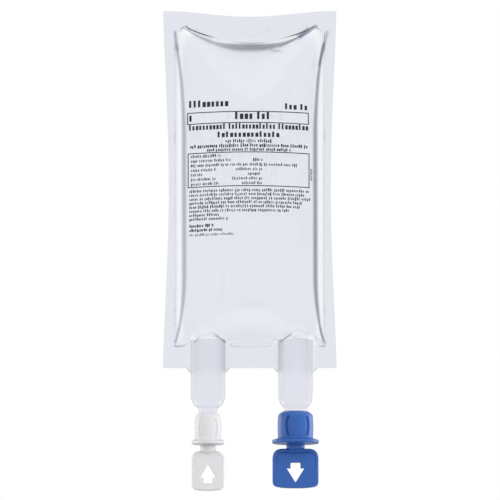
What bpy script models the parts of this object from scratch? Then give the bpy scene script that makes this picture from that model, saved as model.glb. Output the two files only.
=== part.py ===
"""A 100 ml infusion bag: two welded film sheets, the solution in them, and two ports.

Units are metres and +Z is up. The origin is the middle of the hanger cut, where a hook
holds the bag. The printed side faces -Y. The injection port hangs at -X and the infusion
port at +X.
"""

import math
from types import SimpleNamespace

import bmesh
import bpy
from mathutils import Vector

# Clearances
CLEARANCE = 0.0003
SHEET_GAP = 0.0003

# Film sheets, as they lie once the bag is full
FILM_WIDTH = 0.0802
FILM_HEIGHT = 0.1659
FILM_THICKNESS = 0.00025
FILM_SHIFT_X = -0.0009
TOP_EDGE_Z = 0.0102
SIDE_BOW = 0.0026
SIDE_BOW_POWER = 1.4
TOP_SAG = 0.0027
SIDE_WELD = 0.0053
BOTTOM_WELD = 0.0100
TOP_WELD_MIDDLE = 0.0144
TOP_WELD_EARS = 0.0070
TOP_WELD_SIDES = 0.0100
EAR_SHARE = 0.865

# The filled chamber between the sheets
CHAMBER_HALF_DEPTH = 0.0088
TOP_TAPER = 0.0500
TOP_FULLNESS = 0.8
BOTTOM_TAPER = 0.0320
BOTTOM_FULLNESS = 0.6
CORNER_FULLNESS = 1.6

# Hanger cut: one wavy slit whose ends curl up and over
HANGER_HALF_WIDTH = 0.0089
HANGER_CREST_X = 0.0075
HANGER_WAVE = 0.0015
HANGER_SLIT = 0.0004
HANGER_STEPS = 24

# Port tubes, welded between the sheets
PORT_SPACING = 0.0404
TUBE_RADIUS = 0.0079
TUBE_WALL = 0.0012
TUBE_REACH = 0.0028
TUBE_BELOW_FILM = 0.0146
TUBE_SHOULDER = 0.0044
NECK_WALL = 0.0011
COLLAR_LENGTH = 0.0050
INJECTION_NECK_RADIUS = 0.0043
INFUSION_NECK_RADIUS = 0.0050
INJECTION_NECK_LENGTH = 0.0023
INFUSION_NECK_LENGTH = 0.0012
INJECTION_COLLAR_PROUD = 0.0006
INFUSION_COLLAR_PROUD = 0.0012

# How the film drapes over a tube and runs a little down it
DRAPE_FOOT = 0.0022
DRAPE_FADE = 0.0090
SKIRT_DROP = 0.0018

# Septum bosses
SEPTUM_BOSS = 0.0015

# Snap-on caps with a break-off tab, each one moulding
CAP_LIP = 0.0016
CAP_MOUTH_LAND = 0.0005
CAP_SHOULDER = 0.0016
BARREL_BULGE = 0.0003
INJECTION_BARREL_RADIUS = 0.00605
INFUSION_BARREL_RADIUS = 0.0081
INJECTION_BARREL_HEIGHT = 0.0125
INFUSION_BARREL_HEIGHT = 0.0132
FLANGE_THICKNESS = 0.0016
FLANGE_SLOPE = 0.0009
INJECTION_FLANGE_RADIUS = 0.0075
INFUSION_FLANGE_RADIUS = 0.0108
EDGE_ROUND = 0.0004
WINDOW_LEDGE = 0.0028
BREAK_WEB = 0.00035
BREAK_GROOVE = 0.0010
INJECTION_STEM_RADIUS = 0.0037
INFUSION_STEM_RADIUS = 0.0043
INJECTION_STEM_LENGTH = 0.0032
INFUSION_STEM_LENGTH = 0.0024

# Crescent grip grooves in the cap barrels, two in front and two behind
GROOVE_RADIUS = 0.00045
GROOVE_LENGTH = 0.0090
GROOVE_BOW = 0.0009
GROOVE_TOP = 0.0022
GROOVE_SPREAD = 32.0
INJECTION_CAP_TURN = 0.0
INFUSION_CAP_TURN = 8.0

# Break-off tabs and their arrow cut-outs
TAB_HEIGHT = 0.0183
TAB_THICKNESS = 0.0036
TAB_EDGE = 0.0009
TAB_TOP_CORNER = 0.0037
TAB_BOTTOM_CORNER = 0.0020
TAB_BELLY = 0.0009
STEM_TAPER = 0.0013
INJECTION_TAB_WIDTH = 0.0150
INFUSION_TAB_WIDTH = 0.0213
ARROW_LENGTH = 0.0091
ARROW_HEAD = 0.0065
INJECTION_ARROW_DROP = 0.0011
INFUSION_ARROW_DROP = 0.0019
INJECTION_ARROW_WIDTH = 0.0075
INFUSION_ARROW_WIDTH = 0.0083
ARROW_SHAFT_SHARE = 0.55

# Facets, and the grid lines of the sheets: depths inside the side welds, heights over
# the tube ends, and shares of the chamber's height
TURNED_STEPS = 28
CORNER_STEPS = 4
CURVE_STEPS = 5
DRAPE_STEPS = 6
GROOVE_STEPS = 8
SIDE_LINES = (0.0008, 0.0022)
TUBE_END_LINES = (0.0020, 0.0045, 0.0075, 0.0115)
CHAMBER_LINES = (0.16, 0.27, 0.42, 0.58, 0.73, 0.84, 0.91, 0.95, 0.975, 0.99, 1.0)
COLUMN_SPACING = 0.0006
ROW_SPACING_SHARE = 1 / 250

# Heights that follow from the sizes above
BOTTOM_EDGE_Z = TOP_EDGE_Z - FILM_HEIGHT
MIDDLE_Z = TOP_EDGE_Z - FILM_HEIGHT / 2
BOTTOM_WELD_Z = BOTTOM_EDGE_Z + BOTTOM_WELD
CHAMBER_HALF_WIDTH = FILM_WIDTH / 2 - SIDE_WELD
TUBE_TOP_Z = BOTTOM_WELD_Z + TUBE_REACH
SHOULDER_Z = BOTTOM_EDGE_Z - TUBE_BELOW_FILM
NECK_Z = SHOULDER_Z - TUBE_SHOULDER
SLEEVE_RADIUS = TUBE_RADIUS + CLEARANCE
BORE_RADIUS = TUBE_RADIUS - TUBE_WALL


def describe_port(name, side, neck, neck_length, collar_proud, barrel, barrel_height, flange,
                  stem, stem_length, cap_turn, tab_width, arrow_width, arrow_drop, arrow_up,
                  colour, roughness):
    """Gathers one port's sizes, and works out the radii and heights that follow."""
    cap_top = NECK_Z - neck_length
    collar_top = cap_top - CAP_LIP - CLEARANCE
    cap_bore = neck + collar_proud + CLEARANCE
    flange_bottom = cap_top - barrel_height - FLANGE_THICKNESS
    return SimpleNamespace(
        name=name,
        x=side * PORT_SPACING / 2,
        neck=neck,
        neck_bore=neck - NECK_WALL,
        collar=neck + collar_proud,
        collar_top=collar_top,
        collar_bottom=collar_top - COLLAR_LENGTH,
        cap_top=cap_top,
        cap_mouth=neck + CLEARANCE,
        cap_bore=cap_bore,
        window=cap_bore - WINDOW_LEDGE,
        barrel=barrel,
        flange=flange,
        flange_top=cap_top - barrel_height,
        flange_bottom=flange_bottom,
        stem=stem,
        tab_top=flange_bottom - stem_length,
        cap_turn=cap_turn,
        tab_width=tab_width,
        arrow_width=arrow_width,
        arrow_drop=arrow_drop,
        arrow_up=arrow_up,
        colour=colour,
        roughness=roughness,
    )


INJECTION = describe_port(
    name="injection",
    side=-1,
    neck=INJECTION_NECK_RADIUS,
    neck_length=INJECTION_NECK_LENGTH,
    collar_proud=INJECTION_COLLAR_PROUD,
    barrel=INJECTION_BARREL_RADIUS,
    barrel_height=INJECTION_BARREL_HEIGHT,
    flange=INJECTION_FLANGE_RADIUS,
    stem=INJECTION_STEM_RADIUS,
    stem_length=INJECTION_STEM_LENGTH,
    cap_turn=INJECTION_CAP_TURN,
    tab_width=INJECTION_TAB_WIDTH,
    arrow_width=INJECTION_ARROW_WIDTH,
    arrow_drop=INJECTION_ARROW_DROP,
    arrow_up=True,
    colour=(0.76, 0.76, 0.78),
    roughness=0.35,
)
INFUSION = describe_port(
    name="infusion",
    side=1,
    neck=INFUSION_NECK_RADIUS,
    neck_length=INFUSION_NECK_LENGTH,
    collar_proud=INFUSION_COLLAR_PROUD,
    barrel=INFUSION_BARREL_RADIUS,
    barrel_height=INFUSION_BARREL_HEIGHT,
    flange=INFUSION_FLANGE_RADIUS,
    stem=INFUSION_STEM_RADIUS,
    stem_length=INFUSION_STEM_LENGTH,
    cap_turn=INFUSION_CAP_TURN,
    tab_width=INFUSION_TAB_WIDTH,
    arrow_width=INFUSION_ARROW_WIDTH,
    arrow_drop=INFUSION_ARROW_DROP,
    arrow_up=False,
    colour=(0.035, 0.12, 0.46),
    roughness=0.3,
)
PORTS = (INJECTION, INFUSION)


# Scene, collections and materials

def clear_scene():
    for item in list(bpy.data.objects):
        bpy.data.objects.remove(item)


def new_collection(name):
    collection = bpy.data.collections.new(name)
    bpy.context.scene.collection.children.link(collection)
    return collection


def new_material(name, colour, roughness, alpha=1.0, transmission=0.0):
    material = bpy.data.materials.new(name)
    material.use_nodes = True
    shader = material.node_tree.nodes["Principled BSDF"]
    shader.inputs["Base Color"].default_value = (*colour, 1.0)
    shader.inputs["Roughness"].default_value = roughness
    shader.inputs["Metallic"].default_value = 0.0
    shader.inputs["Alpha"].default_value = alpha
    shader.inputs["Transmission Weight"].default_value = transmission
    return material


def add_part(name, mesh, material):
    part = bpy.data.objects.new(name, mesh)
    mesh.materials.append(material)
    PART_COLLECTION.objects.link(part)
    return part


def add_guide(name, data):
    """A cutter or a shape that is joined to a part: shown as wire, never exported."""
    guide = bpy.data.objects.new(name, data)
    guide.hide_render = True
    guide.display_type = "WIRE"
    CUTTER_COLLECTION.objects.link(guide)
    return guide


def cut(part, cutter, operation="DIFFERENCE"):
    boolean = part.modifiers.new(f"{operation.lower()}_{cutter.name}", "BOOLEAN")
    boolean.operation = operation
    boolean.object = cutter
    boolean.solver = "EXACT"


def curve_to_mesh(curve_object, name):
    """Replaces a curve object with its welded mesh, where the curve stood."""
    bpy.context.view_layer.update()
    evaluated = curve_object.evaluated_get(bpy.context.evaluated_depsgraph_get())
    mesh = bpy.data.meshes.new_from_object(evaluated)
    shape = bmesh.new()
    shape.from_mesh(mesh)
    bmesh.ops.remove_doubles(shape, verts=shape.verts, dist=0.00001)
    bmesh.ops.recalc_face_normals(shape, faces=shape.faces)
    shape.to_mesh(mesh)
    shape.free()
    guide = add_guide(name, mesh)
    guide.matrix_world = curve_object.matrix_world
    bpy.data.objects.remove(curve_object)
    return guide


def poly_curve(name, points, dimensions, closed):
    curve = bpy.data.curves.new(name, "CURVE")
    curve.dimensions = dimensions
    spline = curve.splines.new("POLY")
    spline.points.add(len(points) - 1)
    for target, point in zip(spline.points, points):
        target.co = (*point, 1.0)
    spline.use_cyclic_u = closed
    return curve


def plate(name, outline, thickness, edge=0.0):
    """A flat plate in the XZ plane from a closed outline, with rounded edges."""
    curve = poly_curve(name + "_outline", [(x, z, 0.0) for x, z in outline], "2D", True)
    curve.fill_mode = "BOTH"
    curve.extrude = thickness / 2 - edge
    if edge:
        curve.bevel_depth = edge
        curve.bevel_resolution = 2
        curve.offset = -edge
    standing = bpy.data.objects.new(name + "_curve", curve)
    standing.rotation_euler = (math.pi / 2, 0.0, 0.0)
    CUTTER_COLLECTION.objects.link(standing)
    return curve_to_mesh(standing, name)


def turned(name, profile, material, closed):
    """A profile of (radius, height) points turned about Z, its outer side top to bottom."""
    mesh = bpy.data.meshes.new(name)
    edges = [(i, i + 1) for i in range(len(profile) - 1)]
    if closed:
        edges.append((len(profile) - 1, 0))
    mesh.from_pydata([(radius, 0.0, z) for radius, z in profile], edges, [])
    part = add_part(name, mesh, material)
    screw = part.modifiers.new("turn", "SCREW")
    screw.axis = "Z"
    screw.angle = math.tau
    screw.steps = TURNED_STEPS
    screw.render_steps = TURNED_STEPS
    screw.use_merge_vertices = True
    screw.merge_threshold = 0.00001
    screw.use_smooth_shade = True
    return part


# The form of the full pouch

def half_width(z):
    """Half the sheet's width: the full bag draws its side edges in towards mid height."""
    share = max(-1.0, min(1.0, (z - MIDDLE_Z) / (FILM_HEIGHT / 2)))
    return FILM_WIDTH / 2 - SIDE_BOW * math.cos(math.pi / 2 * share) ** SIDE_BOW_POWER


def across(x):
    """Where x lies between the chamber's middle, 0, and its side welds, 1."""
    return min(1.0, abs(x - FILM_SHIFT_X) / CHAMBER_HALF_WIDTH)


def top_edge(share):
    """The top edge sags in the middle, where the full bag pulls on it."""
    return TOP_EDGE_Z - TOP_SAG * math.cos(math.pi / 2 * share) ** 2


def top_weld(share):
    """The top weld: deepest below the hanger cut, shallowest at the chamber's two ears."""
    middle = TOP_WELD_MIDDLE - (TOP_WELD_MIDDLE - TOP_WELD_EARS) * (share / EAR_SHARE) ** 2
    outside = (share - EAR_SHARE) / (1.0 - EAR_SHARE)
    corner = TOP_WELD_EARS + (TOP_WELD_SIDES - TOP_WELD_EARS) * outside
    return TOP_EDGE_Z - max(middle, corner)


def end_swell(depth, reach, fullness):
    """How full the pouch is, 0 to 1, at a depth inside one of its end welds."""
    share = max(0.0, min(1.0, depth / reach))
    return (1.0 - (1.0 - share) ** 2) ** fullness


def side_arc(x):
    """The taut film's round section: 1 in the middle, 0 at the side welds."""
    radius = (CHAMBER_HALF_WIDTH ** 2 + CHAMBER_HALF_DEPTH ** 2) / (2 * CHAMBER_HALF_DEPTH)
    offset = across(x) * CHAMBER_HALF_WIDTH
    rise = math.sqrt(radius ** 2 - offset ** 2) - (radius - CHAMBER_HALF_DEPTH)
    return max(0.0, rise / CHAMBER_HALF_DEPTH)


def pillow_height(x, z):
    """Half the thickness of the filled chamber, without the ports.

    The ends count less towards the side welds, so the corners stay full.
    """
    side = side_arc(x)
    top = end_swell(top_weld(across(x)) - z, TOP_TAPER, TOP_FULLNESS)
    bottom = end_swell(z - BOTTOM_WELD_Z, BOTTOM_TAPER, BOTTOM_FULLNESS)
    return CHAMBER_HALF_DEPTH * side * (top * bottom) ** (side ** CORNER_FULLNESS)


def drape_height(x, z):
    """Film over the tubes: round on the tube, then straight down to its foot."""
    foot = SLEEVE_RADIUS + DRAPE_FOOT
    leave = math.acos(SLEEVE_RADIUS / foot)
    fade_share = max(0.0, min(1.0, (z - TUBE_TOP_Z - CLEARANCE) / DRAPE_FADE))
    fade = math.cos(math.pi / 2 * fade_share) ** 2
    height = 0.0
    for port in PORTS:
        distance = abs(x - port.x)
        if distance < SLEEVE_RADIUS * math.cos(leave):
            height = max(height, math.sqrt(SLEEVE_RADIUS ** 2 - distance ** 2))
        elif distance < foot:
            height = max(height, (foot - distance) / math.tan(leave))
    return height * fade


def inner_height(x, z):
    """The distance of a sheet's inner face from the middle plane."""
    sharpness = 6.0
    pillow = pillow_height(x, z)
    drape = drape_height(x, z)
    both = (pillow ** sharpness + drape ** sharpness) ** (1.0 / sharpness)
    return max(SHEET_GAP / 2, both)


def bottom_edge(x):
    """The cut edge runs a little further down along each tube."""
    foot = SLEEVE_RADIUS + DRAPE_FOOT
    nearest = min(abs(x - port.x) for port in PORTS)
    hug = max(0.0, min(1.0, (foot - nearest) / DRAPE_FOOT))
    return BOTTOM_EDGE_Z - SKIRT_DROP * hug ** 2


def thinned(values, gap):
    """Sorted values with any that crowd the one before left out, both ends kept."""
    ordered = sorted(values)
    kept = [ordered[0]]
    for value in ordered[1:-1]:
        if value - kept[-1] > gap and ordered[-1] - value > gap:
            kept.append(value)
    return kept + [ordered[-1]]


def sheet_columns():
    """Where the sheet's grid lines cross its bottom edge, closest at welds and tubes."""
    half = FILM_WIDTH / 2
    left = FILM_SHIFT_X - CHAMBER_HALF_WIDTH
    right = FILM_SHIFT_X + CHAMBER_HALF_WIDTH
    foot = SLEEVE_RADIUS + DRAPE_FOOT
    leave = math.acos(SLEEVE_RADIUS / foot)
    lines = [0.0]
    for port in PORTS:
        lines += [port.x - foot, port.x + foot]
        for step in range(DRAPE_STEPS + 1):
            angle = leave + (math.pi - 2 * leave) * step / DRAPE_STEPS
            lines.append(port.x - SLEEVE_RADIUS * math.cos(angle))
    for inset in SIDE_LINES:
        lines += [left + inset, right - inset]
    inside = [x for x in lines if left < x < right]
    inner = thinned([left, right] + inside, COLUMN_SPACING)
    return [FILM_SHIFT_X - half] + inner + [FILM_SHIFT_X + half]


def chamber_rows():
    """Grid lines up the chamber, as shares of its height, closest at both welds."""
    height = TOP_EDGE_Z - TOP_WELD_MIDDLE - BOTTOM_WELD_Z
    tube_end = TUBE_REACH + CLEARANCE
    rises = [0.0, tube_end] + [tube_end + line for line in TUBE_END_LINES]
    rows = [rise / height for rise in rises]
    return thinned(rows + list(CHAMBER_LINES), ROW_SPACING_SHARE)


def sheet_point(column, row_name, row):
    """One grid point of a sheet, as x, z. Only the side welds follow the bowed edges."""
    if row_name == "bottom":
        z = bottom_edge(column)
    elif row_name == "top":
        z = top_edge(abs(column - FILM_SHIFT_X) / (FILM_WIDTH / 2))
    else:
        z = BOTTOM_WELD_Z + row * (top_weld(across(column)) - BOTTOM_WELD_Z)
    in_weld = max(0.0, abs(column - FILM_SHIFT_X) - CHAMBER_HALF_WIDTH) / SIDE_WELD
    drawn_in = (FILM_WIDTH / 2 - half_width(z)) * in_weld
    return column - math.copysign(drawn_in, column - FILM_SHIFT_X), z


def grid_mesh(name, columns, rows, place):
    """A plane grid whose points are moved to place(column, row)."""
    shape = bmesh.new()
    bmesh.ops.create_grid(
        shape, x_segments=len(columns) - 1, y_segments=len(rows) - 1, size=1.0
    )
    for vertex in shape.verts:
        column = columns[round((vertex.co.x + 1) / 2 * (len(columns) - 1))]
        row = rows[round((vertex.co.y + 1) / 2 * (len(rows) - 1))]
        vertex.co = place(column, row)
    mesh = bpy.data.meshes.new(name)
    shape.to_mesh(mesh)
    shape.free()
    return mesh


# Film sheets

def film_sheet(name, side, material):
    """One formed sheet. Its grid is its inner face, and Solidify gives it its outer one."""
    rows = [("bottom", 0.0)] + [("chamber", row) for row in chamber_rows()] + [("top", 1.0)]

    def place(column, row):
        x, z = sheet_point(column, *row)
        return Vector((x, side * inner_height(x, z), z))

    part = add_part(name, grid_mesh(name, sheet_columns(), rows, place), material)
    solidify = part.modifiers.new("film", "SOLIDIFY")
    solidify.thickness = FILM_THICKNESS
    solidify.offset = -side
    part.data.shade_smooth()
    return part


def hanger_cutter():
    """The tool of the wavy slit: a thin wall along a cosine with curled ends."""
    points = []
    for step in range(HANGER_STEPS + 1):
        x = HANGER_HALF_WIDTH * (2 * step / HANGER_STEPS - 1)
        phase = math.pi * (abs(x) / HANGER_CREST_X) ** 1.3
        points.append((x, -HANGER_WAVE * math.cos(phase), 0.0))
    curve = poly_curve("hanger_path", points, "2D", False)
    curve.extrude = SHEET_GAP + 4 * FILM_THICKNESS
    curve.bevel_depth = HANGER_SLIT / 2
    curve.bevel_resolution = 0
    curve.use_fill_caps = True
    standing = bpy.data.objects.new("hanger_curve", curve)
    standing.rotation_euler = (math.pi / 2, 0.0, 0.0)
    CUTTER_COLLECTION.objects.link(standing)
    return curve_to_mesh(standing, "hanger_cutter")


# Solution

def saline_fill(material):
    """The solution: the chamber less a clearance, and a column of it in each tube."""
    reach = CHAMBER_HALF_WIDTH + CLEARANCE
    columns = [x for x in sheet_columns() if abs(x - FILM_SHIFT_X) < reach]
    rows = chamber_rows()
    foot = SLEEVE_RADIUS + DRAPE_FOOT

    def place(column, row):
        floor = row == rows[0]
        by_tube = min(abs(column - port.x) for port in PORTS) < foot + CLEARANCE
        x, z = sheet_point(column, "chamber", rows[1] if floor and by_tube else row)
        height = max(CLEARANCE / 8, inner_height(x, z) - CLEARANCE)
        if floor or row == rows[-1] or column in (columns[0], columns[-1]):
            height = 0.0
        return Vector((x, -height, z))

    rows_used = [rows[0]] + rows[2:]
    part = add_part("saline_fill", grid_mesh("saline_fill", columns, rows_used, place), material)
    mirror = part.modifiers.new("back_half", "MIRROR")
    mirror.use_axis = (False, True, False)
    mirror.use_clip = True
    mirror.merge_threshold = 0.00001
    for port in PORTS:
        cut(part, tube_column(port), "UNION")
    return part


def tube_column(port):
    """The solution over and in a port, from under the draped film down to the septum."""
    boss_top = port.collar_bottom + SEPTUM_BOSS
    wide = BORE_RADIUS - CLEARANCE
    narrow = port.neck_bore - CLEARANCE
    mouth = TUBE_TOP_Z + CLEARANCE
    profile = []
    for step in range(CURVE_STEPS, -1, -1):
        share = 0.75 * step / CURVE_STEPS
        radius = SLEEVE_RADIUS * math.cos(math.pi / 2 * share) ** 2 - 2 * CLEARANCE
        profile.append((radius, mouth + DRAPE_FADE * share))
    profile = [(0.0, profile[0][1])] + profile
    profile += [(wide, mouth), (wide, SHOULDER_Z), (narrow, NECK_Z),
                (narrow, boss_top + CLEARANCE), (0.0, boss_top + CLEARANCE)]
    mesh = bpy.data.meshes.new(f"{port.name}_column")
    mesh.from_pydata([(r, 0.0, z) for r, z in profile],
                     [(i, i + 1) for i in range(len(profile) - 1)], [])
    guide = add_guide(f"{port.name}_column", mesh)
    guide.location.x = port.x
    screw = guide.modifiers.new("turn", "SCREW")
    screw.angle = math.tau
    screw.steps = TURNED_STEPS
    screw.render_steps = TURNED_STEPS
    screw.use_merge_vertices = True
    screw.merge_threshold = 0.00001
    return guide


# Port tubes

def port_tube(port, material):
    """A wide tube between the sheets, a shoulder, and a neck whose collar snaps in the cap."""
    outer = [(TUBE_RADIUS - EDGE_ROUND, TUBE_TOP_Z), (TUBE_RADIUS, TUBE_TOP_Z - EDGE_ROUND)]
    for step in range(CURVE_STEPS + 1):
        share = step / CURVE_STEPS
        turn = (1.0 - math.cos(math.pi * share ** 1.3)) / 2
        radius = TUBE_RADIUS - (TUBE_RADIUS - port.neck) * turn
        outer.append((radius, SHOULDER_Z - TUBE_SHOULDER * share))
    outer += [
        (port.neck, port.collar_top + EDGE_ROUND),
        (port.collar, port.collar_top),
        (port.collar, port.collar_bottom + EDGE_ROUND),
        (port.collar - EDGE_ROUND, port.collar_bottom),
    ]
    inner = [
        (port.neck_bore, port.collar_bottom),
        (port.neck_bore, NECK_Z),
        (BORE_RADIUS, SHOULDER_Z),
        (BORE_RADIUS, TUBE_TOP_Z),
    ]
    part = turned(f"{port.name}_port_tube", outer + inner, material, closed=True)
    part.location.x = port.x
    return part


# Septa

def septum(port, material):
    """A rubber disc held between the tube's collar and the cap's ledge, its boss in the bore."""
    radius = port.cap_bore - CLEARANCE
    boss = port.neck_bore - CLEARANCE
    top = port.collar_bottom - CLEARANCE
    bottom = port.flange_top + CLEARANCE
    profile = [
        (0.0, port.collar_bottom + SEPTUM_BOSS),
        (boss - EDGE_ROUND, port.collar_bottom + SEPTUM_BOSS),
        (boss, port.collar_bottom + SEPTUM_BOSS - EDGE_ROUND),
        (boss, top),
        (radius, top),
        (radius, bottom),
        (0.0, bottom),
    ]
    part = turned(f"{port.name}_septum", profile, material, closed=False)
    part.location.x = port.x
    return part


# Caps

def cap_profile(port):
    """Up through the hollow inside from its floor, over the mouth and down the outer side."""
    shoulder = port.cap_top - CAP_SHOULDER
    crown_top = shoulder - EDGE_ROUND
    crown_bottom = port.flange_top + FLANGE_SLOPE
    floor = port.flange_bottom - BREAK_WEB
    profile = [
        (0.0, floor),
        (port.window, floor),
        (port.window, port.flange_top),
        (port.cap_bore, port.flange_top),
        (port.cap_bore, port.cap_top - CAP_LIP),
        (port.cap_mouth, port.cap_top - CAP_LIP),
        (port.cap_mouth, port.cap_top),
        (port.cap_mouth + CAP_MOUTH_LAND, port.cap_top),
        (port.barrel - EDGE_ROUND, shoulder),
    ]
    for step in range(CURVE_STEPS + 1):
        share = step / CURVE_STEPS
        radius = port.barrel + BARREL_BULGE * math.sin(math.pi * share)
        profile.append((radius, crown_top + (crown_bottom - crown_top) * share))
    profile += [
        (port.flange - EDGE_ROUND, port.flange_top),
        (port.flange, port.flange_top - EDGE_ROUND),
        (port.flange, port.flange_bottom + EDGE_ROUND),
        (port.flange - EDGE_ROUND, port.flange_bottom),
        (port.window + BREAK_WEB, port.flange_bottom),
        (port.stem, port.flange_bottom - BREAK_GROOVE),
        (port.stem, port.tab_top),
        (TAB_THICKNESS / 3, port.tab_top - STEM_TAPER),
        (0.0, port.tab_top - STEM_TAPER),
    ]
    return profile


def tab_outline(port):
    """A rounded rectangle with a bellied bottom edge, from the top left corner round."""
    half = port.tab_width / 2
    top = port.tab_top
    bottom = top - TAB_HEIGHT + TAB_BELLY
    corners = [
        (-half, top, TAB_TOP_CORNER, 180.0),
        (half, top, TAB_TOP_CORNER, 90.0),
        (half, bottom, TAB_BOTTOM_CORNER, 0.0),
        (-half, bottom, TAB_BOTTOM_CORNER, -90.0),
    ]
    outline = []
    for x, z, radius, start in corners:
        centre_x = x - math.copysign(radius, x)
        centre_z = z - radius if z == top else z + radius
        for step in range(CORNER_STEPS + 1):
            angle = math.radians(start - 90.0 * step / CORNER_STEPS)
            outline.append((centre_x + radius * math.cos(angle), centre_z + radius * math.sin(angle)))
    flat = half - TAB_BOTTOM_CORNER
    last = len(outline) - CORNER_STEPS - 1
    belly = []
    for step in range(1, CORNER_STEPS):
        x = flat * (1 - 2 * step / CORNER_STEPS)
        belly.append((x, bottom - TAB_BELLY * math.cos(math.pi / 2 * x / flat)))
    return outline[:last] + belly + outline[last:]


def arrow_outline(port):
    """A block arrow, up on the injection tab and down on the infusion tab."""
    middle = port.tab_top - TAB_HEIGHT / 2 - port.arrow_drop
    direction = 1.0 if port.arrow_up else -1.0
    tip = middle + direction * ARROW_LENGTH / 2
    barb = tip - direction * ARROW_HEAD
    tail = tip - direction * ARROW_LENGTH
    head = port.arrow_width / 2
    shaft = head * ARROW_SHAFT_SHARE
    return [(0.0, tip), (head, barb), (shaft, barb), (shaft, tail),
            (-shaft, tail), (-shaft, barb), (-head, barb)]


def groove_cutter(port, facing, side):
    """One crescent groove: a round wire bent along the barrel, bowed away from its pair."""
    top = port.cap_top - GROOVE_TOP
    points = []
    for step in range(GROOVE_STEPS + 1):
        share = step / GROOVE_STEPS
        bow = GROOVE_BOW * math.sin(math.pi * share)
        angle = math.radians(facing + port.cap_turn + side * GROOVE_SPREAD)
        angle += side * bow / port.barrel
        points.append((port.barrel * math.cos(angle), port.barrel * math.sin(angle),
                       top - GROOVE_LENGTH * share))
    name = f"{port.name}_groove_{'front' if facing < 0 else 'back'}_{side}"
    curve = poly_curve(name, points, "3D", False)
    curve.bevel_depth = GROOVE_RADIUS
    curve.bevel_resolution = 1
    curve.use_fill_caps = True
    wire = bpy.data.objects.new(name + "_curve", curve)
    wire.location.x = port.x
    CUTTER_COLLECTION.objects.link(wire)
    return curve_to_mesh(wire, name)


def cap(port, material):
    """Barrel, finger flange, break line, stem and tab: one moulding."""
    part = turned(f"{port.name}_cap", cap_profile(port), material, closed=False)
    part.location.x = port.x
    tab = plate(f"{port.name}_tab", tab_outline(port), TAB_THICKNESS, TAB_EDGE)
    tab.location.x = port.x
    cut(part, tab, "UNION")
    arrow = plate(f"{port.name}_arrow", arrow_outline(port), TAB_THICKNESS * 3)
    arrow.location.x = port.x
    cut(part, arrow)
    for facing in (-90.0, 90.0):
        for side in (-1, 1):
            cut(part, groove_cutter(port, facing, side))
    return part


# The whole bag

clear_scene()
PART_COLLECTION = new_collection("infusion_bag")
CUTTER_COLLECTION = new_collection("cutters")

clear_film = new_material("clear_film", (0.86, 0.88, 0.92), 0.15, alpha=0.5)
solution = new_material("solution", (0.90, 0.93, 0.97), 0.02, alpha=0.4, transmission=1.0)
clear_plastic = new_material("clear_plastic", (0.84, 0.85, 0.88), 0.25, alpha=0.6)
rubber = new_material("septum_rubber", (0.78, 0.74, 0.58), 0.6)

front_film = film_sheet("front_film", -1.0, clear_film)
back_film = film_sheet("back_film", 1.0, clear_film)
hanger = hanger_cutter()
cut(front_film, hanger)
cut(back_film, hanger)
saline_fill(solution)
for each_port in PORTS:
    port_tube(each_port, clear_plastic)
    septum(each_port, rubber)
    cap(each_port, new_material(f"{each_port.name}_plastic", each_port.colour,
                                each_port.roughness))
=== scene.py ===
"""The looks of a filled infusion bag, hung by the cut in its top weld."""

import math

import bmesh
import bpy
import numpy as np
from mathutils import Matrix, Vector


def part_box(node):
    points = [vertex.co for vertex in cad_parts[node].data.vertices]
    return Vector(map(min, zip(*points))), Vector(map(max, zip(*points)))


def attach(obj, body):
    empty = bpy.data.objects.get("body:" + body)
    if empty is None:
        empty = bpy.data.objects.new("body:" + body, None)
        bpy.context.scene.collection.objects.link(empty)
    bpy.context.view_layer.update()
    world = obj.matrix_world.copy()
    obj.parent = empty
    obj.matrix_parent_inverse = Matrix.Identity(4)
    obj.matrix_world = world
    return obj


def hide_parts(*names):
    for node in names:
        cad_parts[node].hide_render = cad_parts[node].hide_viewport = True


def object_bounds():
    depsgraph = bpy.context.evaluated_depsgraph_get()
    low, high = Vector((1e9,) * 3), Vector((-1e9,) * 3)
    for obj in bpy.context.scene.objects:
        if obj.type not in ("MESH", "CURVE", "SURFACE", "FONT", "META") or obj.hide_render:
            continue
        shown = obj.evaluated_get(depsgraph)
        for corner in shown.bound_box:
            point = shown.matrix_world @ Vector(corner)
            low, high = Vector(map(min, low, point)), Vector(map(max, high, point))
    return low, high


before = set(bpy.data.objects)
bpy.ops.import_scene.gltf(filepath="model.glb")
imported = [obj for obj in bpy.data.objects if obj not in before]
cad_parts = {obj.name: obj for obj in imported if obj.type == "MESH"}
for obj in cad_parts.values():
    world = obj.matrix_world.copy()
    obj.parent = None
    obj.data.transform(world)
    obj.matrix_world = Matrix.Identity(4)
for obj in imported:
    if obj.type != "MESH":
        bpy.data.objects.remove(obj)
cad_box = [list(corner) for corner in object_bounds()]
scene = bpy.context.scene
MM = 0.001


# The viewpoint: far off, square to the printed front and a little below it, so that the
# undersides of the cap flanges show as the photographed dark ovals.
CAMERA_DISTANCE = 6.0
VIEW_FROM_BELOW = math.radians(5.5)
VIEW_WIDTH = 0.2312
VIEW_CENTRE_X = -0.0008
VIEW_CENTRE_Z = -0.1009

camera_data = bpy.data.cameras.new("camera")
camera_data.sensor_width = 36.0
camera_data.lens = camera_data.sensor_width * CAMERA_DISTANCE / VIEW_WIDTH
camera_data.clip_start = 0.05
camera = bpy.data.objects.new("camera", camera_data)
camera.location = (VIEW_CENTRE_X, -CAMERA_DISTANCE * math.cos(VIEW_FROM_BELOW),
                   VIEW_CENTRE_Z - CAMERA_DISTANCE * math.sin(VIEW_FROM_BELOW))
camera.rotation_euler = (math.pi / 2 + VIEW_FROM_BELOW, 0.0, 0.0)
scene.collection.objects.link(camera)
scene.camera = camera


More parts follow.
